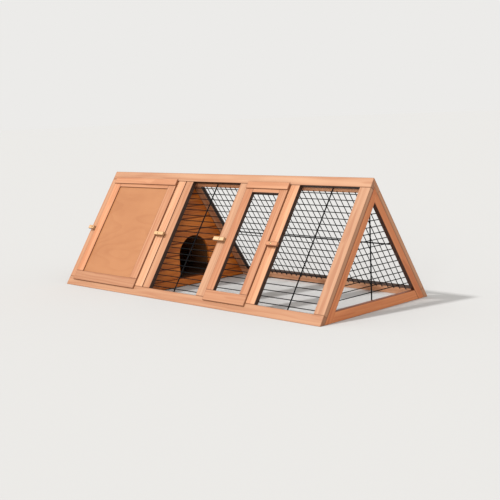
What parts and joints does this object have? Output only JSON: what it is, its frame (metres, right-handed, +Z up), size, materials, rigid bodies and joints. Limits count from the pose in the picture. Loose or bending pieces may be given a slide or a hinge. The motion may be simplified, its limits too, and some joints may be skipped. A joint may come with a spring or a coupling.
{
  "type": "rabbit hutch",
  "caption": "Triangular timber rabbit hutch with an enclosed sleeping end, a wire run, top-hung doors and turn buttons.",
  "frame": {"origin": "centre of the footprint, on the floor", "axes": "+X along the length towards the run end, +Y from the door side to the back, +Z up"},
  "size_m": [1.184, 0.5, 0.38],
  "materials": {
    "frame_timber": "stained softwood, satin",
    "gable_timber": "stained softwood, satin",
    "door_timber": "stained softwood, satin",
    "plywood": "stained plywood, satin",
    "floor_plywood": "dark stained plywood, matt",
    "door_plywood": "stained plywood, satin",
    "partition_timber": "stained softwood, satin",
    "button_timber": "planed pale softwood, satin",
    "wire": "black-coated wire, matt",
    "hinge_metal": "zinc-plated sheet, satin",
    "screw_metal": "yellow zinc-plated, satin"
  },
  "bodies": {
    "frame": {"front_bottom_rail": "frame_timber", "back_bottom_rail": "frame_timber", "front_ridge_board": "frame_timber", "back_ridge_board": "frame_timber", "front_left_end_post": "frame_timber", "front_right_end_post": "frame_timber", "back_left_end_post": "frame_timber", "back_right_end_post": "frame_timber", "front_house_post": "frame_timber", "front_run_post": "frame_timber", "back_house_post": "frame_timber", "back_run_post": "frame_timber", "wire_door_left_post": "frame_timber", "wire_door_right_post": "frame_timber", "right_gable_front_rafter": "gable_timber", "right_gable_back_rafter": "gable_timber", "right_gable_cross_rail": "gable_timber", "left_gable_front_rafter": "gable_timber", "left_gable_back_rafter": "gable_timber", "left_gable_cross_rail": "gable_timber", "left_gable_panel": "plywood", "house_back_panel": "plywood", "house_floor": "floor_plywood", "front_floor_cleat": "frame_timber", "back_floor_cleat": "frame_timber", "partition_bottom_board": "partition_timber", "partition_doorway_boards": "partition_timber", "partition_upper_boards": "partition_timber", "partition_front_rafter": "partition_timber", "partition_back_rafter": "partition_timber", "partition_sill": "partition_timber", "left_bay_grille": "wire", "right_bay_grille": "wire", "back_grille": "wire", "gable_grille": "wire", "solid_door_hinge_frame_leaves": "hinge_metal", "solid_door_hinge_pins": "hinge_metal", "wire_door_hinge_frame_leaves": "hinge_metal", "wire_door_hinge_pins": "hinge_metal", "button_screws": "screw_metal"},
    "solid_door": {"solid_door_left_stile": "door_timber", "solid_door_right_stile": "door_timber", "solid_door_top_rail": "door_timber", "solid_door_bottom_rail": "door_timber", "solid_door_panel": "door_plywood", "solid_door_head_strip": "door_timber", "solid_door_hinge_door_leaves": "hinge_metal"},
    "wire_door": {"wire_door_left_stile": "door_timber", "wire_door_right_stile": "door_timber", "wire_door_top_rail": "door_timber", "wire_door_bottom_rail": "door_timber", "wire_door_grille": "wire", "wire_door_head_strip": "door_timber", "wire_door_hinge_door_leaves": "hinge_metal"},
    "solid_door_left_button": {"solid_door_left_button": "button_timber"},
    "solid_door_right_button": {"solid_door_right_button": "button_timber"},
    "wire_door_left_button": {"wire_door_left_button": "button_timber"},
    "wire_door_right_button": {"wire_door_right_button": "button_timber"}
  },
  "joints": [
    {"name": "solid_door_hinge", "type": "hinge", "parent": "frame", "child": "solid_door", "pos_m": [-0.3925, -0.01894, 0.35667], "axis": [-1, 0, 0], "range_deg": [0, 90]},
    {"name": "wire_door_hinge", "type": "hinge", "parent": "frame", "child": "wire_door", "pos_m": [0.2035, -0.01894, 0.35667], "axis": [-1, 0, 0], "range_deg": [0, 90]},
    {"name": "solid_door_left_button_turn", "type": "hinge", "parent": "frame", "child": "solid_door_left_button", "pos_m": [-0.571, -0.13634, 0.19096], "axis": [0, -0.8354, 0.5496], "range_deg": [0, 180]},
    {"name": "solid_door_right_button_turn", "type": "hinge", "parent": "frame", "child": "solid_door_right_button", "pos_m": [-0.203, -0.13634, 0.19096], "axis": [0, -0.8354, 0.5496], "range_deg": [0, 180]},
    {"name": "wire_door_left_button_turn", "type": "hinge", "parent": "frame", "child": "wire_door_left_button", "pos_m": [0.094, -0.13634, 0.19096], "axis": [0, -0.8354, 0.5496], "range_deg": [0, 180]},
    {"name": "wire_door_right_button_turn", "type": "hinge", "parent": "frame", "child": "wire_door_right_button", "pos_m": [0.313, -0.13634, 0.19096], "axis": [0, -0.8354, 0.5496], "range_deg": [0, 180]}
  ]
}
